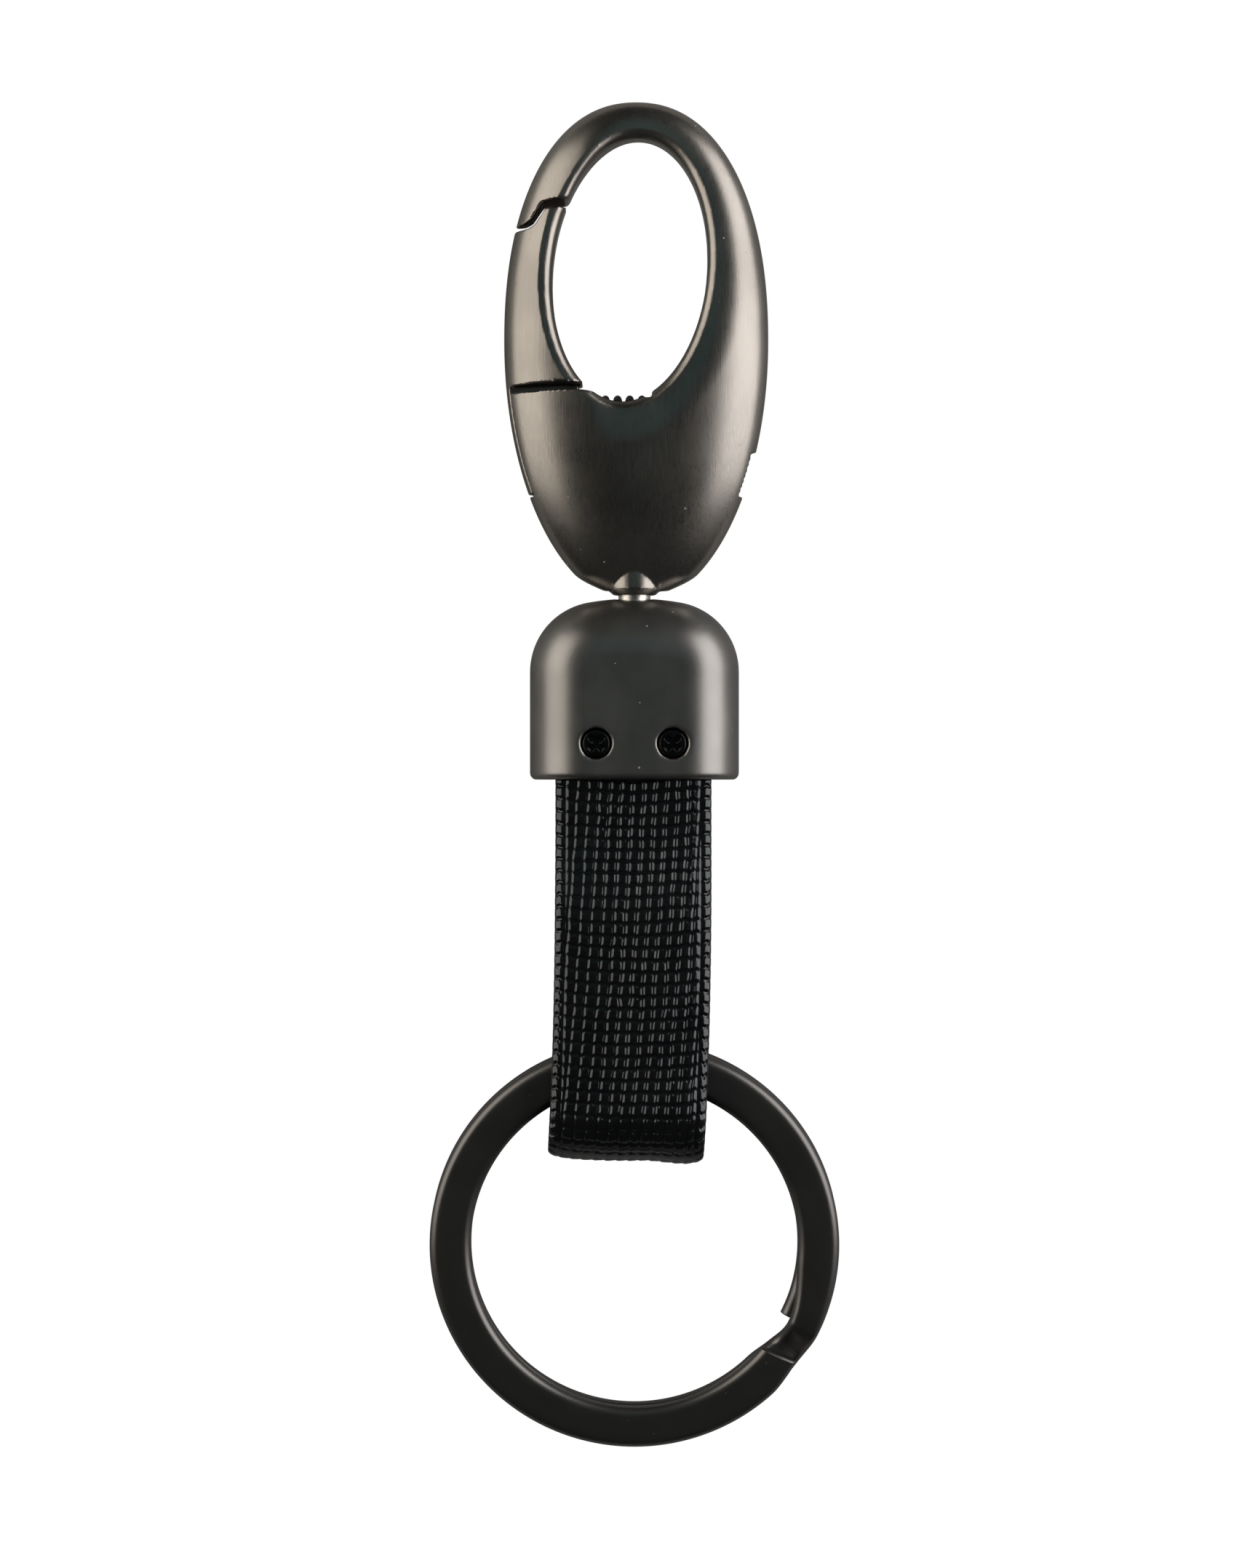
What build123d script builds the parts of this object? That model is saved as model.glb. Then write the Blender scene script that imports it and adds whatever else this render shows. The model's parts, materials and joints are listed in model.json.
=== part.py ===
"""Carabiner keyring: a snap hook on a swivel, a screwed cap, a leather strap loop and a flat split ring.

The keyring lies on its back. +Y runs from the cap's mouth towards the hook's tip, +Z comes out of the
front face, +X is to the right of somebody who looks at the front, and Z = 0 is the surface it lies on.
The origin is below the middle of the cap's mouth. All sizes are in millimetres.
"""

from build123d import *
from math import asin, atan2, cos, degrees, pi, radians, sin, sqrt
import os

os.makedirs("parts", exist_ok=True)

# ---- driving dimensions --------------------------------------------------------------------------

# cap, a bell-shaped casting that holds the strap's two ends
cap_width = 16.3
cap_height = 14.13
cap_thickness = 9.0
cap_edge_radius = 4.4
cap_dome = 5.73  # height of the round top above the parallel sides
cap_shoulder = 5.5  # radius of the bell's shoulders
cap_mouth_chamfer = 0.3
cap_pocket_depth = 9.3

# strap, one folded piece of leather
strap_width = 12.2
leather = 1.2
core_thickness = 2.8  # the block that keeps the strap's two ends apart inside the cap
strap_length = 29.75  # from the mouth to the end of the loop
loop_gap = 5.5
loop_spread_length = 9.0  # stretch over which the two legs part

# screws through the cap
screw_spacing = 5.9
screw_height = 2.8
screw_shank = 1.4
screw_head = 2.2
screw_head_height = 1.0
screw_head_depth = 0.2  # how far the head lies under the cap's face
screw_bite = 1.2  # length of shank in the back wall
screw_slot = 0.42
screw_slot_depth = 0.55

# swivel rivet
rivet_diameter = 2.5
rivet_head = 4.4
rivet_head_height = 1.3
rivet_grip = 4.0  # length of shank in the hook
washer_diameter = 4.8
washer_thickness = 0.4
cap_roof = 2.4
swivel_gap = 0.22
boss_diameter = 4.15
boss_drop = 0.35  # how far the boss hangs below the hook's foot
boss_height = 2.0
boss_taper = 0.16
boss_edge = 0.45

# hook
hook_length = 38.12
hook_width = 20.6
hook_shift = 0.14  # the hook's middle stands a little to the right of the swivel
hook_flatness = 0.39  # thickness over width
hook_belly_share = 0.51  # height of its widest place, as a share of its length
hook_top_power = 2.22
hook_foot_width = 6.6
eye_length = 20.6
eye_width = 12.0
eye_tilt = 5.4
eye_shift = -0.34
top_arm = 2.95
eye_edge_radius = 0.6

# gate
nose_below_top = 8.36  # from the hook's tip to the inner step of the nose joint
nose_step = 1.66  # drop from the inner step to the outer step
nose_gap = 0.2  # between the hook and the gate's top at mid thickness
nose_bevel = 10.0  # degrees by which the gap opens towards the front and the back
gate_edge_radius = 0.85  # along the eye
gate_length = 13.94  # from the inner step of the nose joint to the gate's shoulder
tongue_thickness = 1.7
pivot_below_shoulder = 6.7
pivot_inset = 2.0  # from the hook's left edge
pivot_pin = 1.2
pivot_end_radius = 1.65
pin_bite = 0.6  # length of the pin in the front cheek
slot_right_height = 3.4
tongue_swing = 2.0  # room in the slot for the tongue as the gate opens
tongue_heel = 2.45  # from the pivot to the face that the spring pushes

# gate spring
spring_diameter = 2.8
spring_wire = 0.55
spring_pitch = 0.95
spring_turns = 9
spring_show = 0.7  # how far the coils stand out of the eye's floor

# split ring
ring_diameter = 32.0
ring_band = 3.22
ring_turn = 1.48  # thickness of one turn
ring_edge = 0.42
ring_to_end = 7.75  # from the middle of the ring's band to the end of the loop
joggle_start = -21.0
joggle_end = -37.0

turn_gap = 0.04
ring_end_gap = 2.0  # degrees between an end of the wire and the step beside it

# clearances
running = 0.04
slide_fit = 0.05
slip = 0.1
flex_gap = 0.3

# ---- places --------------------------------------------------------------------------------------

mid = cap_thickness / 2
mid_plane = Plane.XY.offset(mid)
through = 40.0

hook_foot = cap_height + swivel_gap + boss_drop
hook_tip = hook_foot + hook_length
hook_half = hook_width / 2
belly = hook_foot + hook_length * hook_belly_share
rise = hook_tip - belly
fall = (belly - hook_foot) / sqrt(1 - (hook_foot_width / hook_width) ** 2)
eye_centre = hook_tip - top_arm - eye_length / 2
eye_floor = eye_centre - eye_length / 2
nose_y = hook_tip - nose_below_top
shoulder_y = nose_y - gate_length
pivot_y = shoulder_y - pivot_below_shoulder
spring_y = eye_floor + spring_show - spring_diameter / 2


def hook_edge(y):
    """Half the hook's width at height y."""
    if y > belly:
        return hook_half * (1 - ((y - belly) / rise) ** hook_top_power) ** (1 / hook_top_power)
    return hook_half * sqrt(1 - ((belly - y) / fall) ** 2)


def left_edge(y):
    """X of the hook's left edge at height y."""
    return hook_shift - hook_edge(y)


def eye_left(y):
    """X of the eye's left edge at height y."""
    tilt = radians(eye_tilt)
    a, b = eye_width / 2, eye_length / 2
    up = max(-0.999 * b, min(0.999 * b, y - eye_centre))
    # the tilted ellipse is a quadratic in x at a given height
    qa = (cos(tilt) / a) ** 2 + (sin(tilt) / b) ** 2
    qb = 2 * up * sin(tilt) * cos(tilt) * (1 / b**2 - 1 / a**2)
    qc = (up * sin(tilt) / a) ** 2 + (up * cos(tilt) / b) ** 2 - 1
    root = sqrt(max(qb**2 - 4 * qa * qc, 0))
    return eye_shift + (-qb - root) / (2 * qa)


def on_eye_wall(point):
    """Whether a point lies on the eye's straight wall."""
    tilt = radians(eye_tilt)
    along_x = (point.X - eye_shift) * cos(tilt) - (point.Y - eye_centre) * sin(tilt)
    along_y = (point.X - eye_shift) * sin(tilt) + (point.Y - eye_centre) * cos(tilt)
    return abs(sqrt((2 * along_x / eye_width) ** 2 + (2 * along_y / eye_length) ** 2) - 1) < 0.01


def on_arm(share, y):
    """A point of the left arm: share 0 is its outer edge and share 1 the eye's edge."""
    return (left_edge(y) * (1 - share) + eye_left(y) * share, y)


pivot_x = left_edge(pivot_y) + pivot_inset

# ---- hook and gate -------------------------------------------------------------------------------

# The hook's whole form is a turned body that is then flattened: its outline in front is exact, and every
# section across it is an ellipse.
foot_turn = atan2((belly - hook_foot) / fall, hook_foot_width / hook_width)
top_steps = 8
foot_steps = 8
with BuildPart() as hook_form:
    with BuildSketch() as half_outline:
        with BuildLine():
            outline = [
                (
                    hook_half * sin(pi / 2 * i / top_steps) ** (2 / hook_top_power),
                    belly + rise * cos(pi / 2 * i / top_steps) ** (2 / hook_top_power),
                )
                for i in range(top_steps)
            ]
            outline += [
                (hook_half * cos(foot_turn * i / foot_steps), belly - fall * sin(foot_turn * i / foot_steps))
                for i in range(foot_steps + 1)
            ]
            Spline(*outline)
            Line((hook_foot_width / 2, hook_foot), (0, hook_foot))
            Line((0, hook_foot), (0, hook_tip))
        make_face()
    revolve(axis=Axis.Y)
    scale(by=(1, 1, hook_flatness))
hook_blank = Pos(hook_shift, 0, mid) * hook_form.part

# nose joint, from the outer edge to the eye: the gate's outer step, its riser and its inner step
outer_step = [(-0.6, -0.3), (0.0, -0.24), (0.07, -0.08), (0.29, 0.0), (0.42, 0.3)]
inner_step = [(0.56, -0.1), (0.77, 0.0), (1.6, 0.0)]
gate_top = [on_arm(share, nose_y - nose_step + up) for share, up in outer_step]
gate_top += [on_arm(share, nose_y + up) for share, up in inner_step]
hook_nose = [(x - nose_gap / 2, y + nose_gap) for x, y in gate_top]
nose_bottom = nose_y - 2 * nose_step

# foot of the gate, and the shoulder of the hook below it, which falls away where the foot swings past
foot_line = [(1.35, 0.1), (0.95, 0.2), (0.75, 0.32), (-0.6, -0.2)]
gate_foot = [on_arm(share, shoulder_y + up) for share, up in foot_line]
shoulder_line = [(1.5, -0.95), (1.1, -0.62), (0.95, -0.38), (0.75, -0.23), (-0.6, -0.75)]
hook_shoulder = [on_arm(share, shoulder_y + up) for share, up in shoulder_line]

slot_floor = pivot_y - pivot_end_radius - slip
slot_right_top = slot_floor + slot_right_height
slot_gap = tongue_thickness + 2 * slide_fit
spring_left = pivot_x + tongue_heel + slip
spring_length = spring_pitch * spring_turns
spring_right = spring_left + spring_length + spring_wire

with BuildPart() as gate_zone:
    with BuildSketch(mid_plane):
        with BuildLine():
            Polyline(*gate_top, *gate_foot, close=True)
        make_face()
    extrude(amount=through, both=True)

with BuildPart() as gate_clearance:
    with BuildSketch(mid_plane):
        with BuildLine():
            Polyline(*hook_nose, *hook_shoulder, close=True)
        make_face()
    extrude(amount=through, both=True)

with BuildPart() as nose_clearance:
    with BuildSketch(mid_plane):
        with BuildLine():
            Polyline(*hook_nose, (hook_nose[-1][0], nose_bottom), (hook_nose[0][0], nose_bottom), close=True)
        make_face()
    extrude(amount=hook_half * hook_flatness, both=True, taper=-nose_bevel)

with BuildPart() as eye_cut:
    with BuildSketch(mid_plane):
        with Locations((eye_shift, eye_centre)):
            Ellipse(eye_width / 2, eye_length / 2, rotation=-eye_tilt)
    extrude(amount=through, both=True)

with BuildPart() as tongue_slot:
    with BuildSketch(mid_plane):
        with BuildLine():
            Polyline(
                (-hook_width, slot_floor),
                (hook_width, slot_floor),
                (hook_width, slot_right_top),
                (spring_left + tongue_swing, slot_right_top),
                (spring_left + tongue_swing, shoulder_y + 1),
                (-hook_width, shoulder_y + 1),
                close=True,
            )
        make_face()
    extrude(amount=slot_gap / 2, both=True)


def eyed_form(edge_radius):
    """The hook's whole form with the eye cut and its two edges rounded."""
    with BuildPart() as form:
        add(hook_blank)
        add(eye_cut.part, mode=Mode.SUBTRACT)
        eye_edges = form.edges().filter_by(lambda e: on_eye_wall(e @ 0.3) and abs((e @ 0.3).Z - mid) > 1)
        fillet(eye_edges, edge_radius)
    return form.part


with BuildPart() as hook_body:
    add(eyed_form(eye_edge_radius))
    add(gate_clearance.part, mode=Mode.SUBTRACT)
    add(nose_clearance.part, mode=Mode.SUBTRACT)
    add(tongue_slot.part, mode=Mode.SUBTRACT)
    # boss for the swivel rivet, a short cone that sinks into the foot
    with BuildSketch(mid_plane):
        with BuildLine():
            Polyline(
                (0, hook_foot - boss_drop),
                (boss_diameter / 2 - boss_edge, hook_foot - boss_drop),
                (boss_diameter / 2, hook_foot - boss_drop + boss_edge),
                (boss_diameter / 2 - boss_taper, hook_foot + boss_height),
                (0, hook_foot + boss_height),
                close=True,
            )
        make_face()
    revolve(axis=Axis((0, 0, mid), (0, 1, 0)))
    # blind bore for the rivet, up from the boss
    with BuildSketch(Plane.XZ.offset(-(hook_foot - boss_drop))):
        with Locations((0, mid)):
            Circle(rivet_diameter / 2)
    extrude(amount=-rivet_grip, mode=Mode.SUBTRACT)
    # pocket of the gate spring, which breaks through the eye's floor
    with BuildSketch(Plane.YZ.offset(spring_left - 1)):
        with Locations((spring_y, mid)):
            Circle(spring_diameter / 2 + slip)
    extrude(amount=spring_right + 1 - spring_left + slip, mode=Mode.SUBTRACT)
    # blind bore of the pivot pin, driven in from the back
    with BuildSketch(Plane.XY):
        with Locations((pivot_x, pivot_y)):
            Circle(pivot_pin / 2)
    extrude(amount=mid + slot_gap / 2 + pin_bite, mode=Mode.SUBTRACT)
hook_body.part.label = "hook_body"
export_step(hook_body.part, "parts/hook_body.step")

with BuildPart() as pin_space:
    with BuildSketch(Plane.XY):
        with Locations((pivot_x, pivot_y)):
            Circle(pivot_pin / 2)
    extrude(amount=mid + slot_gap / 2 + pin_bite)

with BuildPart() as gate_pin:
    add(pin_space.part)
    add(hook_blank, mode=Mode.INTERSECT)
gate_pin.part.label = "gate_pin"
export_step(gate_pin.part, "parts/gate_pin.step")

with BuildPart() as gate:
    add(eyed_form(gate_edge_radius))
    add(gate_zone.part, mode=Mode.INTERSECT)
    # tongue, from inside the arm down round the pivot
    with BuildSketch(mid_plane) as tongue_outline:
        with BuildLine():
            Polyline(
                (left_edge(shoulder_y) - 2, shoulder_y + 1.5),
                (spring_left - slip, shoulder_y + 0.6),
                (spring_left - slip, spring_y - spring_diameter / 2),
                (pivot_x + pivot_end_radius, pivot_y + pivot_end_radius),
                (pivot_x + pivot_end_radius, pivot_y),
                (pivot_x, pivot_y - pivot_end_radius),
                (left_edge(pivot_y) - 2, pivot_y - pivot_end_radius),
                close=True,
            )
        make_face()
    extrude(amount=tongue_thickness / 2, both=True)
    add(hook_blank, mode=Mode.INTERSECT)
    with Locations((pivot_x, pivot_y, mid)):
        Hole(pivot_pin / 2 + running)
gate.part.label = "gate"
export_step(gate.part, "parts/gate.step")

with BuildPart() as gate_spring:
    with BuildLine():
        coil = Helix(
            pitch=spring_pitch,
            height=spring_length,
            radius=(spring_diameter - spring_wire) / 2,
            center=(spring_left + spring_wire / 2, spring_y, mid),
            direction=(1, 0, 0),
        )
    with BuildSketch(Plane(origin=coil @ 0, z_dir=coil % 0)):
        Circle(spring_wire / 2)
    sweep(is_frenet=True)
gate_spring.part.label = "gate_spring"
export_step(gate_spring.part, "parts/gate_spring.step")

# ---- swivel --------------------------------------------------------------------------------------

roof_inside = cap_height - cap_roof
washer_top = roof_inside - slide_fit
head_top = washer_top - washer_thickness - slide_fit

with BuildPart() as swivel_rivet:
    with BuildSketch(mid_plane):
        with BuildLine():
            Polyline(
                (0, head_top - rivet_head_height),
                (rivet_head / 2, head_top - rivet_head_height),
                (rivet_head / 2, head_top),
                (rivet_diameter / 2, head_top),
                (rivet_diameter / 2, hook_foot - boss_drop + rivet_grip),
                (0, hook_foot - boss_drop + rivet_grip),
                close=True,
            )
        make_face()
    revolve(axis=Axis((0, 0, mid), (0, 1, 0)))
swivel_rivet.part.label = "swivel_rivet"
export_step(swivel_rivet.part, "parts/swivel_rivet.step")

with BuildPart() as swivel_washer:
    with BuildSketch(Plane.XZ.offset(-washer_top)):
        with Locations((0, mid)):
            Circle(washer_diameter / 2)
            Circle(rivet_diameter / 2 + 2 * running, mode=Mode.SUBTRACT)
    extrude(amount=washer_thickness)
swivel_washer.part.label = "swivel_washer"
export_step(swivel_washer.part, "parts/swivel_washer.step")

# ---- cap -----------------------------------------------------------------------------------------

pocket_width = strap_width + 2 * slip
pocket_height = 2 * leather + core_thickness + 2 * slip
screw_places = [(-screw_spacing / 2, screw_height), (screw_spacing / 2, screw_height)]
head_seat = cap_thickness - screw_head_depth - screw_head_height
back_wall = mid - pocket_height / 2
bell_side = cap_height - cap_dome
bell_centre = cap_width / 2 - cap_shoulder
# radius of the crown arc that runs smoothly into both shoulders
crown = (bell_centre**2 + cap_dome**2 - cap_shoulder**2) / (2 * (cap_dome - cap_shoulder))
bell_turn = degrees(atan2(crown - cap_dome, bell_centre))

with BuildPart() as cap:
    with BuildSketch() as bell:
        with BuildLine():
            Polyline((-cap_width / 2, bell_side), (-cap_width / 2, 0), (cap_width / 2, 0), (cap_width / 2, bell_side))
            CenterArc((bell_centre, bell_side), cap_shoulder, 0, bell_turn)
            CenterArc((0, cap_height - crown), crown, bell_turn, 180 - 2 * bell_turn)
            CenterArc((-bell_centre, bell_side), cap_shoulder, 180 - bell_turn, bell_turn)
        make_face()
    extrude(amount=cap_thickness)
    rims = cap.edges().filter_by(lambda e: abs((e @ 0.5).Z - mid) > mid - 0.01 and (e @ 0.5).Y > 0.1)
    fillet(rims, cap_edge_radius)
    mouth = cap.faces().sort_by(Axis.Y)[0]
    chamfer(mouth.edges(), cap_mouth_chamfer)
    # pocket for the strap's ends, open at the mouth
    with BuildSketch(Plane.XZ):
        with Locations((0, mid)):
            Rectangle(pocket_width, pocket_height)
    extrude(amount=-cap_pocket_depth, mode=Mode.SUBTRACT)
    # room for the rivet's head and washer
    with BuildSketch(Plane.XZ):
        with Locations((0, mid)):
            Circle(washer_diameter / 2 + slip)
    extrude(amount=-roof_inside, mode=Mode.SUBTRACT)
    with BuildSketch(Plane.XZ):
        with Locations((0, mid)):
            Circle(rivet_diameter / 2 + running)
    extrude(amount=-(cap_height + 1), mode=Mode.SUBTRACT)
    # screw holes: clear in the front wall, tapped in the back wall
    with BuildSketch(Plane.XY.offset(cap_thickness)):
        with Locations(*screw_places):
            Circle(screw_head / 2 + slip)
    extrude(amount=-(cap_thickness - head_seat), mode=Mode.SUBTRACT)
    with BuildSketch(Plane.XY.offset(mid)):
        with Locations(*screw_places):
            Circle(screw_shank / 2 + slip)
    extrude(amount=mid, mode=Mode.SUBTRACT)
    with BuildSketch(Plane.XY.offset(mid)):
        with Locations(*screw_places):
            Circle(screw_shank / 2)
    extrude(amount=-(mid - back_wall + screw_bite + slip), mode=Mode.SUBTRACT)
cap.part.label = "cap"
export_step(cap.part, "parts/cap.step")


def make_screw(place):
    """A cross-recessed cheese-head screw, standing in the cap at the given place."""
    with BuildPart() as screw:
        with BuildSketch(Plane.XY.offset(head_seat)):
            with Locations(place):
                Circle(screw_head / 2)
        extrude(amount=screw_head_height)
        top_rim = screw.faces().sort_by(Axis.Z)[-1].edges()
        fillet(top_rim, screw_head_height / 5)
        with BuildSketch(Plane.XY.offset(head_seat)):
            with Locations(place):
                Circle(screw_shank / 2)
        extrude(amount=-(head_seat - back_wall + screw_bite))
        with BuildSketch(Plane.XY.offset(head_seat + screw_head_height)):
            with Locations(place):
                Rectangle(screw_head * 0.66, screw_slot, rotation=45)
                Rectangle(screw_head * 0.66, screw_slot, rotation=-45)
        extrude(amount=-screw_slot_depth, mode=Mode.SUBTRACT)
    return screw.part


for side, place in zip(("left", "right"), screw_places):
    screw = make_screw(place)
    screw.label = f"screw_{side}"
    export_step(screw, f"parts/screw_{side}.step")

# ---- strap ---------------------------------------------------------------------------------------

end_length = cap_pocket_depth - slip
knuckle = leather + core_thickness / 2
flex_y = -flex_gap - knuckle
loop_half = loop_gap / 2 + leather
loop_end_y = -strap_length + loop_half
spread_y = flex_y - loop_spread_length

with BuildPart() as strap_core:
    with BuildSketch(mid_plane):
        with Locations((0, end_length / 2)):
            Rectangle(strap_width, end_length)
        with Locations(*screw_places):
            Circle(screw_shank / 2 + slip, mode=Mode.SUBTRACT)
    extrude(amount=core_thickness / 2, both=True)
    rear_edges = strap_core.edges().filter_by(Axis.Z).group_by(Axis.Y)[-1]
    chamfer(rear_edges, 0.6)
strap_core.part.label = "strap_core"
export_step(strap_core.part, "parts/strap_core.step")

for name, side in (("front", 1), ("back", -1)):
    with BuildPart() as strap_end:
        with BuildSketch(Plane.XY.offset(mid + side * (core_thickness + leather) / 2)):
            with Locations((0, end_length / 2)):
                Rectangle(strap_width, end_length)
            with Locations(*screw_places):
                Circle(screw_shank / 2 + slip, mode=Mode.SUBTRACT)
        extrude(amount=leather / 2, both=True)
    strap_end.part.label = f"strap_end_{name}"
    export_step(strap_end.part, f"parts/strap_end_{name}.step")


with BuildPart() as strap_loop:
    side_plane = Plane.YZ.offset(-strap_width / 2)
    with BuildSketch(side_plane) as loop_outline:
        with BuildLine():
            top = Bezier(
                (flex_y, mid + knuckle),
                (flex_y - loop_spread_length / 2, mid + knuckle),
                (spread_y + loop_spread_length / 2, mid + loop_half),
                (spread_y, mid + loop_half),
            )
            Line(top @ 1, (loop_end_y, mid + loop_half))
            ThreePointArc(
                (loop_end_y, mid + loop_half), (loop_end_y - loop_half, mid), (loop_end_y, mid - loop_half)
            )
            Line((loop_end_y, mid - loop_half), (spread_y, mid - loop_half))
            Bezier(
                (spread_y, mid - loop_half),
                (spread_y + loop_spread_length / 2, mid - loop_half),
                (flex_y - loop_spread_length / 2, mid - knuckle),
                (flex_y, mid - knuckle),
            )
            ThreePointArc((flex_y, mid - knuckle), (flex_y + knuckle, mid), (flex_y, mid + knuckle))
        make_face()
    extrude(amount=strap_width)
    inner_half = loop_gap / 2
    core_end_y = flex_y - leather
    with BuildSketch(side_plane) as loop_inside:
        with BuildLine():
            lip = core_thickness / 2
            Line((core_end_y, mid - lip), (core_end_y, mid + lip))
            Bezier(
                (core_end_y, mid + lip),
                (core_end_y - loop_spread_length / 2, mid + lip),
                (spread_y + loop_spread_length / 2, mid + inner_half),
                (spread_y, mid + inner_half),
            )
            Line((spread_y, mid + inner_half), (loop_end_y, mid + inner_half))
            ThreePointArc(
                (loop_end_y, mid + inner_half), (loop_end_y - inner_half, mid), (loop_end_y, mid - inner_half)
            )
            Line((loop_end_y, mid - inner_half), (spread_y, mid - inner_half))
            Bezier(
                (spread_y, mid - inner_half),
                (spread_y + loop_spread_length / 2, mid - inner_half),
                (core_end_y - loop_spread_length / 2, mid - lip),
                (core_end_y, mid - lip),
            )
        make_face()
    extrude(amount=strap_width, mode=Mode.SUBTRACT)
strap_loop.part.label = "strap_loop"
export_step(strap_loop.part, "parts/strap_loop.step")

# ---- split ring ----------------------------------------------------------------------------------

ring_outer = ring_diameter / 2
ring_inner = ring_outer - ring_band
ring_middle = ring_outer - ring_band / 2
half_ring = ring_turn + turn_gap / 2
# the ring swings about the middle of what the strap's width takes of its curved band
band_sag = ring_inner - sqrt(ring_inner**2 - (strap_width / 2) ** 2)
swing_reach = ring_middle - band_sag / 2
swing_y = ring_to_end - strap_length - band_sag / 2
far_reach = swing_reach + ring_outer
ring_lean = degrees(asin(mid / sqrt(far_reach**2 + half_ring**2)) - atan2(half_ring, far_reach))


def band_section(angle, level):
    """Plane across the band at an angle round the ring, at a height from the ring's middle."""
    turn = radians(angle)
    outward = (cos(turn), sin(turn), 0)
    place = (ring_middle * cos(turn), ring_middle * sin(turn), level)
    return Plane(origin=place, x_dir=outward, z_dir=(-sin(turn), cos(turn), 0))


level = (ring_turn + turn_gap) / 2
with BuildPart() as flat_ring:
    # front turn, from its blunt end beside the crossing to where it starts to step down
    with BuildSketch(band_section(joggle_start, level)):
        RectangleRounded(ring_band, ring_turn, ring_edge)
    revolve(axis=Axis.Z, revolution_arc=360 - (joggle_start - joggle_end) - ring_end_gap)
    # back turn, from where the wire has stepped down to its own blunt end
    with BuildSketch(band_section(joggle_end, -level)):
        RectangleRounded(ring_band, ring_turn, ring_edge)
    revolve(axis=Axis.Z, revolution_arc=-(360 - (joggle_start - joggle_end) - ring_end_gap))
    # the step between them
    for i in range(5):
        share = i / 4
        height = level * cos(pi * share)
        with BuildSketch(band_section(joggle_start + (joggle_end - joggle_start) * share, height)):
            RectangleRounded(ring_band, ring_turn, ring_edge)
    loft()
# the loop's end carries the ring, which leans from there down to the surface
split_ring = Pos(0, swing_y, mid) * Rot(ring_lean, 0, 0) * Pos(0, -swing_reach, 0) * flat_ring.part
split_ring.label = "split_ring"
export_step(split_ring, "parts/split_ring.step")
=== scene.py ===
"""Looks of the carabiner keyring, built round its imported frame.

The keyring lies on its back on a pale floor: +Y towards the hook's tip, +Z out of the front face. Every
length here is in metres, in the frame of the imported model.
"""

from __future__ import annotations

import json
import logging
import math
from dataclasses import dataclass, field
from enum import Enum
from typing import Any, Sequence, Union

import bpy
import numpy as np
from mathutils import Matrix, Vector

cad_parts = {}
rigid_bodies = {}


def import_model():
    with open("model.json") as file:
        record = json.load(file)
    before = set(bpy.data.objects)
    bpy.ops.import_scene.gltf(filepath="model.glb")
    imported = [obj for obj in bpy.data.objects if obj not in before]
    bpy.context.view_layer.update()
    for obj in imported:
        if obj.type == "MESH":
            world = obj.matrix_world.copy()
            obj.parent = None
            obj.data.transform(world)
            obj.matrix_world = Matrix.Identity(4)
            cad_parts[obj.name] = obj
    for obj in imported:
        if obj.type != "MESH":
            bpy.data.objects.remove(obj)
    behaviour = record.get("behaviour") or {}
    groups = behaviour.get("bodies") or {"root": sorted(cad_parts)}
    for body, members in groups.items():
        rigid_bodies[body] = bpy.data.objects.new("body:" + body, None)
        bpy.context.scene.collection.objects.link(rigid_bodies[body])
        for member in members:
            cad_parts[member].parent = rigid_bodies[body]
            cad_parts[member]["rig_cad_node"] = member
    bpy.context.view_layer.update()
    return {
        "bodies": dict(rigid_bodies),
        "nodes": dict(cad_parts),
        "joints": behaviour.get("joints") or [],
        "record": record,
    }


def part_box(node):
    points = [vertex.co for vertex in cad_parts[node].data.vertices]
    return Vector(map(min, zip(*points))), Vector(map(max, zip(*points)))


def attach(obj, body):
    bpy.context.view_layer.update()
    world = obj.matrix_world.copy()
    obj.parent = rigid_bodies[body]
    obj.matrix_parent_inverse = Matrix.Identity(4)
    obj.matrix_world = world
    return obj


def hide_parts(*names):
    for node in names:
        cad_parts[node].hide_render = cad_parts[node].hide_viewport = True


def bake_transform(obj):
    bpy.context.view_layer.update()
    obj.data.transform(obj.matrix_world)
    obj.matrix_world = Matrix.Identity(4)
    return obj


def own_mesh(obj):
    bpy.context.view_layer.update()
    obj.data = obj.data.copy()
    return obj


log = logging.getLogger("keyring")
MM = 0.001
FLESH = "flesh_side"  # attribute of the strap: 1 on the leather's rough inner side


# ---- shader maths ----------------------------------------------------------------------------------


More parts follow.
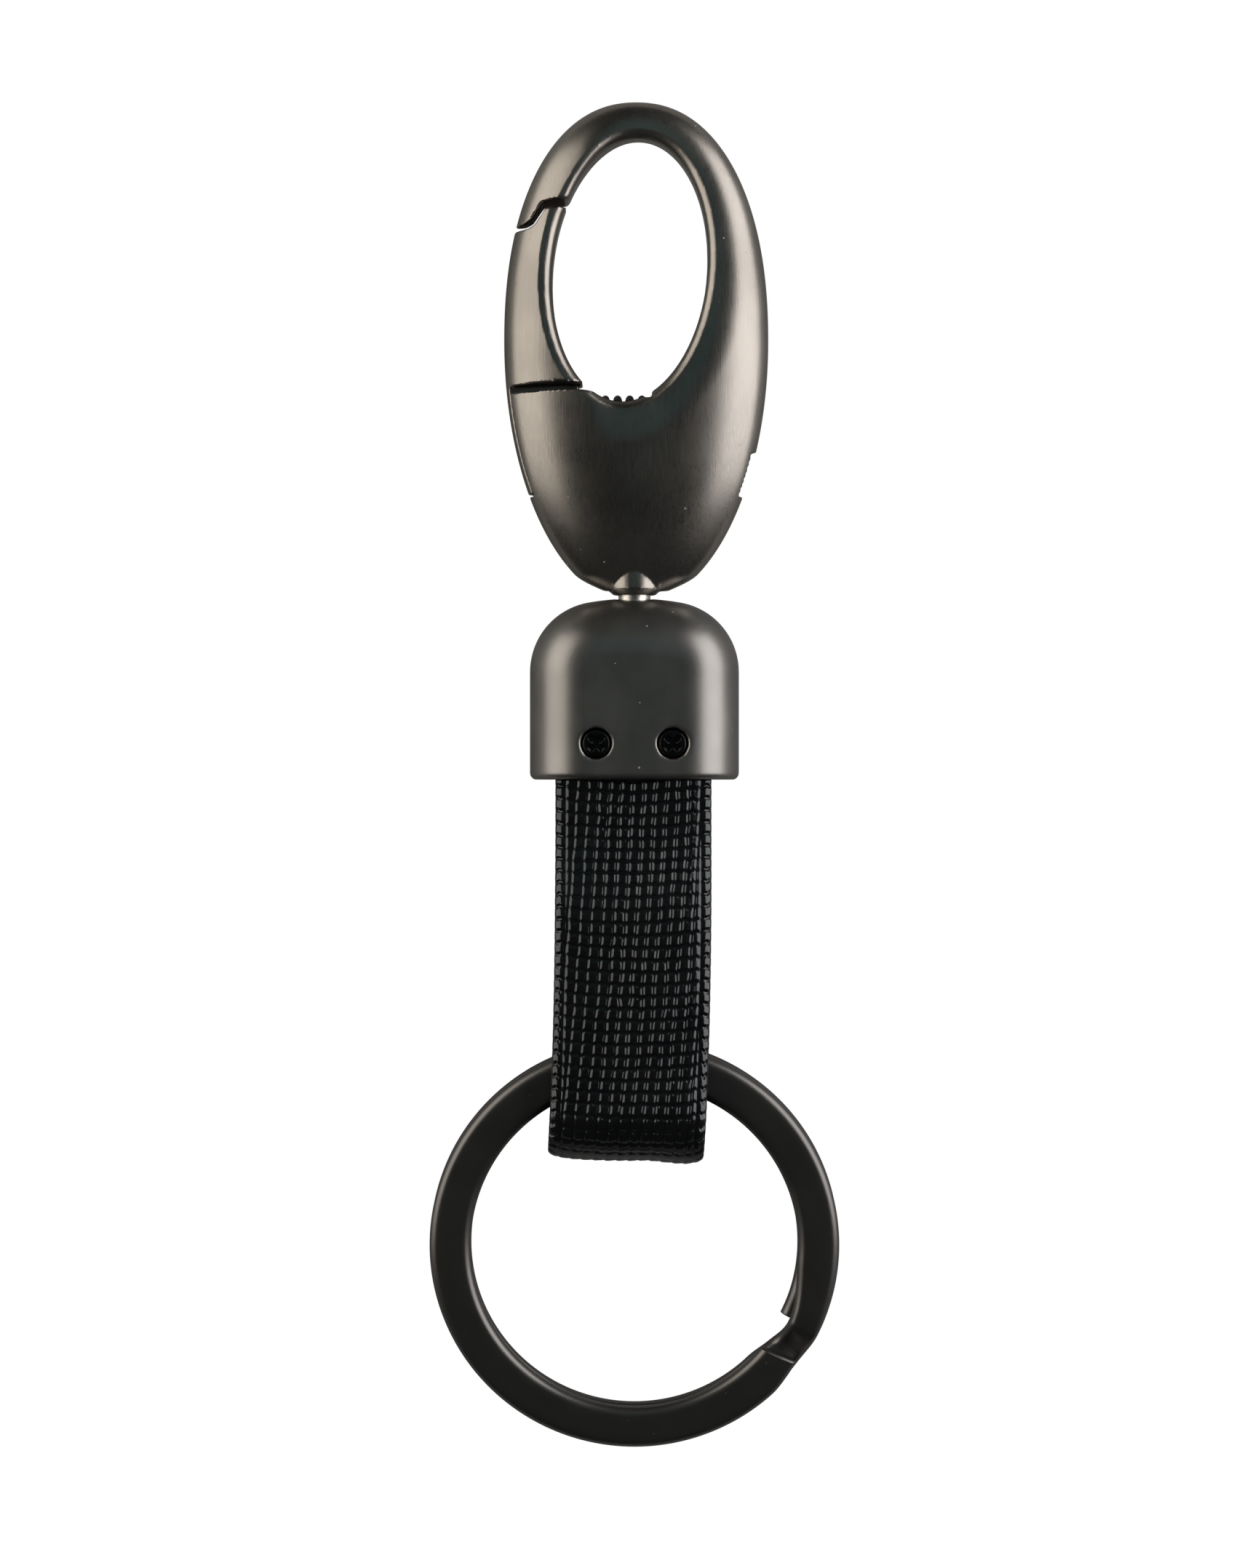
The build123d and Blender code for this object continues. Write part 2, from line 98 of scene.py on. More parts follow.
class Wire:
    """A value socket that adds Math nodes when it is used in an expression."""

    def __init__(self, shader: "Shader", socket: Any) -> None:
        """Wraps one output socket of the shader's tree."""
        self.shader = shader
        self.socket = socket

    def _math(self, operation: str, *values: Any) -> "Wire":
        """Adds one Math node.

        Args:
            operation: the node's operation.
            values: its inputs, as numbers or wires.

        Returns:
            The node's result.
        """
        inputs = {i: v for i, v in enumerate(values)}
        return self.shader.node("ShaderNodeMath", {"operation": operation}, inputs)

    def __add__(self, other: Any) -> "Wire":
        """self + other."""
        return self._math("ADD", self, other)

    __radd__ = __add__

    def __sub__(self, other: Any) -> "Wire":
        """self - other."""
        return self._math("SUBTRACT", self, other)

    def __rsub__(self, other: Any) -> "Wire":
        """other - self."""
        return self._math("SUBTRACT", other, self)

    def __mul__(self, other: Any) -> "Wire":
        """self * other."""
        return self._math("MULTIPLY", self, other)

    __rmul__ = __mul__

    def __gt__(self, other: Any) -> "Wire":
        """1 where self is greater than other, and 0 elsewhere."""
        return self._math("GREATER_THAN", self, other)

    def ramp(self, low: float, high: float) -> "Wire":
        """Rises smoothly from 0 at low to 1 at high.

        Args:
            low: where the rise starts.
            high: where it ends.

        Returns:
            The eased value.
        """
        settings = {"interpolation_type": "SMOOTHSTEP"}
        names = {"Value": self, "From Min": low, "From Max": high, "To Min": 0.0, "To Max": 1.0}
        return self.shader.node("ShaderNodeMapRange", settings, names)


Input = Union[float, Sequence[float], Wire]


class Shader:
    """A material whose nodes are added by expressions."""

    def __init__(self, name: str) -> None:
        """Makes an empty material with a Principled shader on its output."""
        self.material = bpy.data.materials.new(name)
        self.material.use_nodes = True
        self.tree = self.material.node_tree
        self.tree.nodes.clear()
        self.output = self.tree.nodes.new("ShaderNodeOutputMaterial")
        self.surface = self.tree.nodes.new("ShaderNodeBsdfPrincipled")
        self.tree.links.new(self.surface.outputs["BSDF"], self.output.inputs["Surface"])

    def node(self, kind: str, settings: dict[str, Any], inputs: dict[Any, Input], out: Any = 0) -> Wire:
        """Adds any node.

        Args:
            kind: the node's type.
            settings: its settings, which are set first.
            inputs: numbers, vectors or wires for its sockets, by name or number.
            out: the output to hand back, by name or number.

        Returns:
            That output as a wire.
        """
        node = self.tree.nodes.new(kind)
        for name, value in settings.items():
            setattr(node, name, value)
        for name, value in inputs.items():
            self.feed(node.inputs[name], value)
        return Wire(self, node.outputs[out])

    def feed(self, socket: Any, value: Input) -> None:
        """Sets a socket to a number or vector, or links a wire to it."""
        if isinstance(value, Wire):
            self.tree.links.new(value.socket, socket)
        else:
            socket.default_value = value

    def place(self, stretch: Sequence[float]) -> Wire:
        """The surface's own coordinates in millimetres, each axis times a stretch."""
        spot = self.node("ShaderNodeTexCoord", {}, {}, "Object")
        scale = [s / MM for s in stretch]
        return self.node("ShaderNodeVectorMath", {"operation": "MULTIPLY"}, {0: spot, 1: scale}, "Vector")

    def noise(self, stretch: Sequence[float], detail: float = 2.0, rough: float = 0.5) -> Wire:
        """Noise from 0 to 1.

        Args:
            stretch: its features per millimetre along each axis.
            detail: how many finer layers it has.
            rough: how strong they are.

        Returns:
            The noise.
        """
        names = {"Vector": self.place(stretch), "Scale": 1.0, "Detail": detail, "Roughness": rough}
        return self.node("ShaderNodeTexNoise", {}, names, "Fac")

    def specks(self, per_mm: float, size: float, share: float) -> Wire:
        """Small round spots: 1 inside a spot and 0 outside.

        Args:
            per_mm: cells per millimetre, some of which hold a spot.
            size: the spot's radius as a share of its cell.
            share: how many of the cells hold one, roughly.

        Returns:
            The mask.
        """
        names = {"Vector": self.place((per_mm, per_mm, per_mm)), "Scale": 1.0, "Randomness": 1.0}
        away = self.node("ShaderNodeTexVoronoi", {}, names, "Distance")
        lot = self.node("ShaderNodeTexVoronoi", {}, names, "Color")
        return (1.0 - away.ramp(size * 0.5, size)) * (lot > 1.0 - share)

    def blend(self, share: Input, first: Input, second: Input) -> Wire:
        """A colour between first and second."""
        settings = {"data_type": "RGBA", "blend_type": "MIX"}
        return self.node("ShaderNodeMix", settings, {0: share, 6: first, 7: second}, 2)

    def relief(self, height: Wire, depth: float) -> Wire:
        """A normal from a height in metres times depth.

        Args:
            height: the height, from 0 to 1.
            depth: how deep 1 is, in metres.

        Returns:
            The bent normal.
        """
        return self.node("ShaderNodeBump", {}, {"Height": height, "Distance": depth, "Strength": 1.0})

    def set(self, **sockets: Input) -> None:
        """Sets the Principled shader's sockets, named with _ for a space."""
        for name, value in sockets.items():
            self.feed(self.surface.inputs[name.replace("_", " ")], value)


def rgb(red: float, green: float, blue: float) -> tuple[float, float, float, float]:
    """A colour with full alpha."""
    return (red, green, blue, 1.0)


# ---- finishes --------------------------------------------------------------------------------------


@dataclass(frozen=True)
class SatinPlate:
    """Satin gunmetal plating with fine brushing along the keyring, specks of dust and small scuffs."""

    name: str = "satin_gunmetal"
    tone: tuple[float, float, float] = (0.33, 0.31, 0.285)
    roughness: float = 0.29
    brushing: float = 1.6

    def make(self) -> bpy.types.Material:
        """Builds the material."""
        s = Shader(self.name)
        cloud = s.noise((0.25, 0.18, 0.25), 3.0)
        streak = s.noise((9.0, 0.22, 9.0), 3.0, 0.6)
        fine = s.noise((24.0, 0.6, 24.0), 2.0, 0.6)
        grain = s.noise((18.0, 18.0, 18.0), 2.0)
        dust = s.specks(1.0, 0.1, 0.24)
        dark = rgb(*(0.82 * c for c in self.tone))
        tone = s.blend(cloud.ramp(0.3, 0.7), dark, rgb(*self.tone))
        tone = s.blend(dust * 0.8, tone, rgb(0.62, 0.6, 0.56))
        matt = self.roughness + (streak - 0.5) * (0.1 * self.brushing) + (cloud - 0.5) * 0.08 + dust * 0.25
        s.set(Base_Color=tone, Metallic=1.0 - dust * 0.7, Roughness=matt)
        height = streak * (1.8 * self.brushing) + fine * self.brushing + grain * 0.15 + dust * 2.0
        s.set(Normal=s.relief(height, 0.0012 * MM))
        return s.material


@dataclass(frozen=True)
class BlackNickel:
    """Smooth black-nickel plating of the split ring, with a few handling marks."""

    name: str = "black_nickel"
    tone: tuple[float, float, float] = (0.175, 0.171, 0.166)
    roughness: float = 0.37

    def make(self) -> bpy.types.Material:
        """Builds the material."""
        s = Shader(self.name)
        cloud = s.noise((0.3, 0.3, 0.3), 3.0)
        grain = s.noise((14.0, 14.0, 14.0), 3.0)
        dust = s.specks(0.9, 0.05, 0.38)
        tone = s.blend(cloud.ramp(0.3, 0.7), rgb(*(0.93 * c for c in self.tone)), rgb(*self.tone))
        tone = s.blend(dust * 0.5, tone, rgb(0.7, 0.68, 0.64))
        s.set(Base_Color=tone, Metallic=1.0, Roughness=self.roughness + (cloud - 0.5) * 0.04 + dust * 0.2)
        s.set(Normal=s.relief(grain * 0.4 + dust, 0.001 * MM))
        return s.material


@dataclass(frozen=True)
class BrightNickel:
    """Bright, slightly worn nickel of the rivet."""

    name: str = "bright_nickel"

    def make(self) -> bpy.types.Material:
        """Builds the material."""
        s = Shader(self.name)
        wear = s.noise((2.5, 6.0, 2.5), 4.0, 0.6)
        tone = s.blend(wear.ramp(0.35, 0.65), rgb(0.55, 0.52, 0.48), rgb(0.86, 0.83, 0.78))
        s.set(Base_Color=tone, Metallic=1.0, Roughness=0.24 + wear * 0.22)
        s.set(Normal=s.relief(wear, 0.01 * MM))
        return s.material


@dataclass(frozen=True)
class BlackOxide:
    """Dull black steel of the screws, the pin and the spring."""

    name: str = "black_oxide"
    tone: float = 0.05
    roughness: float = 0.36

    def make(self) -> bpy.types.Material:
        """Builds the material."""
        s = Shader(self.name)
        cloud = s.noise((1.2, 1.2, 1.2), 3.0)
        low = rgb(0.7 * self.tone, 0.7 * self.tone, 0.7 * self.tone)
        tone = s.blend(cloud.ramp(0.3, 0.7), low, rgb(self.tone, self.tone, 0.97 * self.tone))
        s.set(Base_Color=tone, Metallic=1.0, Roughness=self.roughness + (cloud - 0.5) * 0.15)
        s.set(Normal=s.relief(s.noise((9.0, 9.0, 9.0), 3.0), 0.002 * MM))
        return s.material


@dataclass(frozen=True)
class PressedLeather:
    """Black leather with a hard, lightly shining finish: the pressed grain itself is in the mesh."""

    name: str = "pressed_leather"

    def make(self) -> bpy.types.Material:
        """Builds the material."""
        s = Shader(self.name)
        cloud = s.noise((0.4, 0.4, 0.4), 3.0)
        pore = s.noise((11.0, 11.0, 11.0), 4.0, 0.6)
        flesh = s.node("ShaderNodeAttribute", {"attribute_name": FLESH}, {}, "Fac")
        skin = s.blend(cloud.ramp(0.3, 0.7), rgb(0.0035, 0.0035, 0.004), rgb(0.006, 0.006, 0.0065))
        tone = s.blend(flesh, skin, rgb(0.016, 0.015, 0.014))
        matt = 0.17 + (pore - 0.5) * 0.1 + (cloud - 0.5) * 0.08 + flesh * 0.7
        s.set(Base_Color=tone, Metallic=0.0, Roughness=matt)
        s.set(Normal=s.relief(pore, 0.003 * MM))
        s.set(Specular_IOR_Level=0.7, Specular_Tint=rgb(0.88, 0.94, 1.0))
        return s.material


@dataclass(frozen=True)
class BlackResin:
    """Matt moulded block between the strap's ends."""

    name: str = "black_resin"

    def make(self) -> bpy.types.Material:
        """Builds the material."""
        s = Shader(self.name)
        cloud = s.noise((1.5, 1.5, 1.5), 3.0)
        tone = s.blend(cloud, rgb(0.012, 0.012, 0.012), rgb(0.022, 0.022, 0.021))
        s.set(Base_Color=tone, Roughness=0.55 + cloud * 0.1)
        s.set(Normal=s.relief(s.noise((8.0, 8.0, 8.0)), 0.006 * MM))
        return s.material


class Slot(Enum):
    """The record's material slots."""

    GUNMETAL = "gunmetal"
    CAP = "cap_metal"
    PIN = "dark_pin"
    SPRING = "spring_steel"
    BRIGHT = "bright_steel"
    SCREW = "black_screw"
    CORE = "core_plastic"
    LEATHER = "leather"
    RING = "ring_steel"


# ---- meshes ----------------------------------------------------------------------------------------


def smooth_step(x: np.ndarray, low: float, high: float) -> np.ndarray:
    """0 below low, 1 above high, and an eased rise between them."""
    t = np.clip((x - low) / (high - low), 0.0, 1.0)
    return t * t * (3.0 - 2.0 * t)


def mesh_object(name: str, points: np.ndarray, faces: Sequence[Sequence[int]]) -> bpy.types.Object:
    """A smooth-shaded mesh object at the origin.

    Args:
        name: its name.
        points: its vertices, in metres.
        faces: the vertex numbers of each face.

    Returns:
        The linked object.
    """
    mesh = bpy.data.meshes.new(name)
    mesh.from_pydata(points.tolist(), [], [list(map(int, f)) for f in faces])
    mesh.polygons.foreach_set("use_smooth", np.ones(len(mesh.polygons), bool))
    mesh.update()
    piece = bpy.data.objects.new(name, mesh)
    bpy.context.scene.collection.objects.link(piece)
    return piece


def tube_faces(stations: int, around: int) -> list[tuple[int, ...]]:
    """Faces of a tube of closed sections laid out station by station, with a flat cap at each end."""
    i, j = np.meshgrid(np.arange(stations - 1), np.arange(around), indexing="ij")
    here, step = i * around + j, i * around + (j + 1) % around
    quads = np.stack([here, step, step + around, here + around], -1).reshape(-1, 4)
    faces = [tuple(q) for q in quads]
    faces.append(tuple(range(around))[::-1])
    faces.append(tuple(range((stations - 1) * around, stations * around)))
    return faces


def rounded_box(width: float, height: float, radius: float, arc: int, flat: int) -> np.ndarray:
    """Points round a rectangle with rounded corners, anticlockwise from its right side.

    Args:
        width: its size along the first axis.
        height: its size along the second.
        radius: the corners' radius.
        arc: steps in each corner.
        flat: steps along each side.

    Returns:
        The points, one row each.
    """
    a, b = width / 2 - radius, height / 2 - radius
    points = []
    for k, (cx, cy) in enumerate(((a, b), (-a, b), (-a, -b), (a, -b))):
        turn = np.linspace(k * math.pi / 2, (k + 1) * math.pi / 2, arc + 1)
        corner = np.stack([cx + radius * np.cos(turn), cy + radius * np.sin(turn)], 1)
        following = ((-a, b), (-a, -b), (a, -b), (a, b))[k]
        end = np.array(following) + radius * np.array([math.cos(turn[-1]), math.sin(turn[-1])])
        side = np.linspace(corner[-1], end, flat + 1)[1:-1]
        points += [corner, side]
    return np.concatenate(points)


def voxel_skin(name: str, node: bpy.types.Object, grain: float, passes: int) -> bpy.types.Object:
    """A fine, even skin over a node, whose edges are softened as those of a plated casting are.

    Args:
        name: the new piece's name.
        node: the node that it covers.
        grain: the size of its faces.
        passes: how often it is smoothed.

    Returns:
        The new piece.
    """
    piece = bpy.data.objects.new(name, node.data.copy())
    bpy.context.scene.collection.objects.link(piece)
    piece.data.materials.clear()
    skin = piece.modifiers.new("skin", "REMESH")
    skin.mode = "VOXEL"
    skin.voxel_size = grain
    ease = piece.modifiers.new("ease", "SMOOTH")
    ease.factor = 0.5
    ease.iterations = passes
    mesh = bpy.data.meshes.new_from_object(piece.evaluated_get(bpy.context.evaluated_depsgraph_get()))
    mesh.name = name
    piece.modifiers.clear()
    piece.data = mesh
    mesh.polygons.foreach_set("use_smooth", np.ones(len(mesh.polygons), bool))
    return piece


def read_points(piece: bpy.types.Object) -> np.ndarray:
    """The vertices of a piece, one row each."""
    flat = np.empty(3 * len(piece.data.vertices))
    piece.data.vertices.foreach_get("co", flat)
    return flat.reshape(-1, 3)


def write_points(piece: bpy.types.Object, points: np.ndarray) -> None:
    """Moves the vertices of a piece."""
    piece.data.vertices.foreach_set("co", points.ravel())
    piece.data.update()


# ---- sub-assemblies --------------------------------------------------------------------------------


@dataclass
class Kit:
    """What every sub-assembly needs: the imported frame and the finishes."""

    frame: dict[str, Any]
    finishes: dict[Slot, bpy.types.Material] = field(default_factory=dict)

    def node(self, name: str) -> bpy.types.Object:
        """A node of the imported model."""
        return self.frame["nodes"][name]

    def joint(self, name: str) -> np.ndarray:
        """Where a joint's axis stands."""
        return np.array(next(j["pos_m"] for j in self.frame["joints"] if j["name"] == name))

    def dress(self, piece: bpy.types.Object, slot: Slot) -> None:
        """Gives a piece one finish all over."""
        piece.data.materials.clear()
        piece.data.materials.append(self.finishes[slot])
        "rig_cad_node" not in piece
        log.info("%s: %s", piece.name, slot.value)


@dataclass
class SnapHook:
    """The cast hook, its gate, the pivot pin and the spring."""

    kit: Kit
    grain: float = 0.13 * MM
    passes: int = 6
    half_width: float = 10.3 * MM
    middle_x: float = 0.14 * MM
    flatness: float = 0.39
    length: float = 38.12 * MM
    belly_share: float = 0.51
    foot_width: float = 6.6 * MM
    top_power: float = 2.22
    foot_round: float = 1.3 * MM
    foot_share: float = 0.25
    boss_reach: float = 2.1 * MM
    boss_blend: float = 0.4 * MM
    near: float = 0.02 * MM
    far: float = 0.05 * MM
    eye: tuple[float, float] = (-0.34 * MM, 39.57 * MM)
    eye_half: tuple[float, float] = (6.0 * MM, 10.3 * MM)
    eye_tilt: float = 5.4
    dish_width: float = 3.5 * MM
    dish_depth: float = 0.68 * MM
    spring_keep: float = 0.82

    def half_at(self, y: np.ndarray) -> np.ndarray:
        """Half the form's width at each height."""
        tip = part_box("hook_body")[1][1]
        foot = tip - self.length
        belly = foot + self.length * self.belly_share
        fall = (belly - foot) / math.sqrt(1 - (self.foot_width / 2 / self.half_width) ** 2)
        up = np.clip((y - belly) / (tip - belly), 0.0, 1.0)
        down = np.clip((belly - y) / fall, 0.0, 1.0)
        top = (1 - up**self.top_power) ** (1 / self.top_power)
        return self.half_width * np.where(y > belly, top, np.sqrt(1 - down**2))

    def true_up(self, piece: bpy.types.Object) -> None:
        """Lays the skin's points exactly on the hook's outer form where they are all but on it.

        It also rounds the foot in round the boss, and flattens the casting beside the eye.
        """
        points = read_points(piece)
        mid = self.kit.joint("hook_swivel")[2]
        across = points[:, 0] - self.middle_x
        deep = (points[:, 2] - mid) / self.flatness
        radius = np.maximum(np.hypot(across, deep), 1e-9)
        form = self.half_at(points[:, 1])
        off = np.abs(radius - form) * self.flatness
        share = 1 - smooth_step(off, self.near, self.far)
        pull = 1 + share * (form / radius - 1)
        points[:, 0] = self.middle_x + across * pull
        points[:, 2] = mid + (points[:, 2] - mid) * pull
        above = points[:, 1] - (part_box("hook_body")[1][1] - self.length)
        tuck = self.foot_share * np.clip(1 - above / self.foot_round, 0, 1) ** 2
        from_axis = np.hypot(points[:, 0] - self.middle_x, points[:, 2] - mid)
        outside = smooth_step(from_axis, self.boss_reach, self.boss_reach + self.boss_blend)
        points[:, 0] = self.middle_x + (points[:, 0] - self.middle_x) * (1 - tuck * outside)
        points[:, 2] = mid + (points[:, 2] - mid) * (1 - self.dish(points, mid))
        write_points(piece, points)

    def dish(self, points: np.ndarray, mid: float) -> np.ndarray:
        """How much flatter the casting is beside the eye, where it falls away to the eye's edge.

        Args:
            points: points of the casting.
            mid: the height of its middle plane.

        Returns:
            The share of each point's height above that plane that is gone, which is 0 on the gate's arm.
        """
        tilt = math.radians(self.eye_tilt)
        x, y = points[:, 0] - self.eye[0], points[:, 1] - self.eye[1]
        u = x * math.cos(tilt) - y * math.sin(tilt)
        v = x * math.sin(tilt) + y * math.cos(tilt)
        reach = np.maximum(np.hypot(u / self.eye_half[0], v / self.eye_half[1]), 0.5)
        away = np.hypot(u, v) * (1 - 1 / reach)
        fall = self.dish_depth * np.clip(1 - away / self.dish_width, 0, 1) ** 2
        side = smooth_step(u / self.eye_half[0], np.where(v > 0, -0.8, -0.45), np.where(v > 0, -0.15, 0.1))
        across = points[:, 0] - self.middle_x
        crest = self.flatness * np.sqrt(np.maximum(self.half_at(points[:, 1]) ** 2 - across**2, 0))
        return side * np.clip(fall / np.maximum(crest, 1.2 * MM), 0, 0.6)

    def coil(self) -> None:
        """The gate's spring, a copy of its node that is carried by the hook."""
        coil = bpy.data.objects.new("spring_coil", self.kit.node("gate_spring").data.copy())
        bpy.context.scene.collection.objects.link(coil)
        self.kit.dress(coil, Slot.SPRING)
        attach(coil, "hook")
        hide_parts("gate_spring")
        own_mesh(coil)

    def build(self) -> None:
        """Makes the hook's pieces."""
        for node, body in (("hook_body", "hook"), ("gate", "gate_body")):
            piece = voxel_skin(node + "_skin", self.kit.node(node), self.grain, self.passes)
            self.true_up(piece)
            self.kit.dress(piece, Slot.GUNMETAL)
            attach(piece, body)
            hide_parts(node)
        self.kit.dress(self.kit.node("gate_pin"), Slot.PIN)
        self.coil()


@dataclass
class SwivelCap:
    """The bell cap with its screws, the rivet and washer inside it and the strap's block."""

    kit: Kit
    grain: float = 0.12 * MM
    passes: int = 12
    screw_grain: float = 0.045 * MM
    screw_passes: int = 3

    def build(self) -> None:
        """Makes the cap's pieces."""
        cap = voxel_skin("cap_skin", self.kit.node("cap"), self.grain, self.passes)
        self.kit.dress(cap, Slot.CAP)
        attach(cap, "cap_body")
        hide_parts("cap")
        for name in ("screw_left", "screw_right"):
            screw = voxel_skin(name + "_skin", self.kit.node(name), self.screw_grain, self.screw_passes)
            self.kit.dress(screw, Slot.SCREW)
            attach(screw, "cap_body")
            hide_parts(name)
        for name in ("swivel_rivet", "swivel_washer"):
            self.kit.dress(self.kit.node(name), Slot.BRIGHT)
        self.kit.dress(self.kit.node("strap_core"), Slot.CORE)
        for name in ("strap_end_front", "strap_end_back"):
            self.kit.dress(self.kit.node(name), Slot.LEATHER)


@dataclass
class LeatherStrap:
    """The folded strap, a strip of cross-grain leather that is bent into a loop."""

    kit: Kit
    width: float = 12.2 * MM
    leather: float = 1.2 * MM
    core: float = 2.8 * MM
    gap: float = 5.5 * MM
    spread: float = 9.0 * MM
    step_along: float = 0.095 * MM
    step_behind: float = 0.19 * MM
    step_across: float = 0.078 * MM
    column: float = 0.88 * MM
    row: float = 0.94 * MM
    relief: float = 0.18 * MM
    border: float = 0.8 * MM
    lean: float = 0.057
    arch: float = 0.5
    scallop: float = 0.14 * MM
    crown: float = 0.22 * MM
    fold_from: float = 1.2 * MM
    fold_keep: float = 0.4
    off_centre: float = 0.08 * MM
    drift: float = 0.6 * MM
    end_dip: float = 0.5 * MM
    end_lift: float = 0.25 * MM
    blend_from: float = 0.4 * MM
    blend_to: float = 6.0 * MM
    seed: int = 11

    def path(self) -> np.ndarray:
        """The middle of the leather from the front leg round to the back: y, z and the distance along it."""
        mid = self.kit.joint("strap_flex")[2]
        flex_y = self.kit.joint("strap_flex")[1]
        low_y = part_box("strap_loop")[0][1]
        near = (self.core + self.leather) / 2
        wide = (self.gap + self.leather) / 2
        spread_y = flex_y - self.spread
        end_y = low_y + wide + self.leather / 2
        t = np.linspace(0, 1, 200)[:, None]
        leg = np.array([[flex_y, near], [flex_y - self.spread / 2, near], [spread_y + self.spread / 2, wide]])
        leg = np.vstack([leg, [spread_y, wide]])
        curve = (1 - t) ** 3 * leg[0] + 3 * (1 - t) ** 2 * t * leg[1]
        curve = curve + 3 * (1 - t) * t**2 * leg[2] + t**3 * leg[3]
        turn = np.linspace(math.pi / 2, math.pi, 120)[:, None]
        bend = np.hstack([end_y + wide * np.cos(turn), wide * np.sin(turn)])
        half = np.vstack([[[0.0, near]], curve, bend])
        whole = np.vstack([half, (half * [1, -1])[-2::-1]])
        gone = np.concatenate([[0], np.cumsum(np.hypot(*np.diff(whole, axis=0).T))])
        turned = gone[-1] / 2 + wide
        front, back = np.arange(0, turned, self.step_along), np.arange(turned, gone[-1], self.step_behind)
        even = np.concatenate([front, back])
        y, z = np.interp(even, gone, whole[:, 0]), np.interp(even, gone, whole[:, 1])
        return np.stack([y, mid + z, even], 1)

    def section(self) -> tuple[np.ndarray, np.ndarray]:
        """The strip's section.

        Returns:
            Its points as (across, outward), and how much of the grain each one takes.
        """
        half, thick = self.width / 2, self.leather / 2
        dense = int(self.width / self.step_across)
        lean = np.linspace(-1, 1, dense)
        across = half * np.sin(lean * math.pi / 2 * 0.72) / math.sin(math.pi / 2 * 0.72)
        share = np.abs(across) / half
        outward = thick * np.maximum(1 - share**6, 0) ** 0.5 + self.crown * (1 - share**2)
        inner = np.linspace(0, math.pi, 26)
        inside = np.stack([half * np.cos(inner), -thick * np.sin(inner) ** 0.35], 1)[1:-1]
        points = np.vstack([np.stack([across, outward], 1), inside])
        grain = np.concatenate([np.ones(dense), np.zeros(len(inside))])
        return points, grain

    def wander(self, rows: int, columns: int, along: np.ndarray, across: np.ndarray) -> np.ndarray:
        """Smooth random waves from -1 to 1 on a grid of the given size."""
        draw = np.random.RandomState(self.seed + 31 * rows + columns).uniform(-1, 1, (rows + 3, columns + 3))
        u, v = along * rows, across * columns
        i, j = np.floor(u).astype(int), np.floor(v).astype(int)
        fu, fv = smooth_step(u - i, 0, 1), smooth_step(v - j, 0, 1)
        low = draw[i, j] * (1 - fv) + draw[i, j + 1] * fv
        high = draw[i + 1, j] * (1 - fv) + draw[i + 1, j + 1] * fv
        return low * (1 - fu) + high * fu

    def grain(self, along: np.ndarray, across: np.ndarray, total: float) -> np.ndarray:
        """Height of the pressed grain: cells in slanting columns, outlined by grooves, steep on their left.

        Args:
            along: distance along the strip.
            across: distance from its middle.
            total: the strip's length.

        Returns:
            Heights from 0 to 1.
        """
        u, v = along / total, across / self.width + 0.5
        stray = 0.05 * self.wander(9, 5, u, v) + 0.06 * self.wander(70, 14, u, v)
        column = (across + along * self.lean) / self.column + stray
        bow = self.arch * (2 * across / self.width) ** 2
        row = along / self.row + bow + 0.1 * self.wander(12, 4, u, v) + 0.1 * self.wander(70, 14, v, u)
        cell, line = np.floor(column), np.floor(row)
        lot = np.abs(np.sin(cell * 12.9898 + line * 78.233) * 43758.5453) % 1.0
        f, g = column - cell, row - line
        steep, gentle = smooth_step(f, 0.04, 0.22), 1 - 0.4 * smooth_step(f, 0.34, 0.78)
        ridge = steep * gentle * (1 - smooth_step(f, 0.78, 1.0))
        pillow = smooth_step(g, 0.0, 0.22) * (1 - smooth_step(g, 0.78, 1.0))
        middle = 0.62 + 0.38 * np.exp(-((across / (3.8 * MM)) ** 2))
        inner = ridge * pillow * (0.78 + 0.22 * lot) * middle
        inside = self.width / 2 - self.border - np.abs(across)
        inner = inner * smooth_step(inside, 0, 0.3 * MM)
        side = np.clip(1 + inside / self.border, 0, 1)
        outer = 0.7 * pillow * (1 - np.clip(2 * side - 1, 0, 1) ** 3)
        return np.where(side < 1, outer, inner)

    def build(self) -> None:
        """Makes the strap."""
        path, gone = np.hsplit(self.path(), [2])
        points, takes = self.section()
        count, around = len(path), len(points)
        tangent = np.gradient(path, axis=0)
        tangent /= np.linalg.norm(tangent, axis=1)[:, None]
        outward = np.stack([-tangent[:, 1], tangent[:, 0]], 1)
        if outward[0, 1] < 0:
            outward = -outward
        total = float(gone[-1, 0])
        along = np.tile(gone, (1, around))
        across = np.tile(points[:, 0], (count, 1))
        height = self.grain(along, across, total) - 0.5
        low = -path[:, 0].min()
        turned = smooth_step(-path[:, 0], low - self.fold_from, low)[:, None]
        rise = points[:, 1] + height * takes * self.relief * (1 - (1 - self.fold_keep) * turned)
        brim = np.sign(across) * smooth_step(np.abs(across), self.width / 2 - self.border, self.width / 2)
        x = across + brim * np.minimum(height - 0.5, 0) * takes * self.scallop
        y = path[:, 0][:, None] + outward[:, 0][:, None] * rise
        z = path[:, 1][:, None] + outward[:, 1][:, None] * rise
        down = np.clip(-y / low, 0, 1)
        x = x - self.off_centre - self.drift * down**3
        y = y + (self.end_lift - self.end_dip * smooth_step(x, 0.5 * MM, 5 * MM)) * down**6
        cloud = np.stack([x, y, z], -1).reshape(-1, 3)
        strap = mesh_object("strap_leather", cloud, tube_faces(count, around))
        flesh = strap.data.attributes.new(FLESH, "FLOAT", "POINT")
        flesh.data.foreach_set("value", np.tile(1.0 - takes, count))
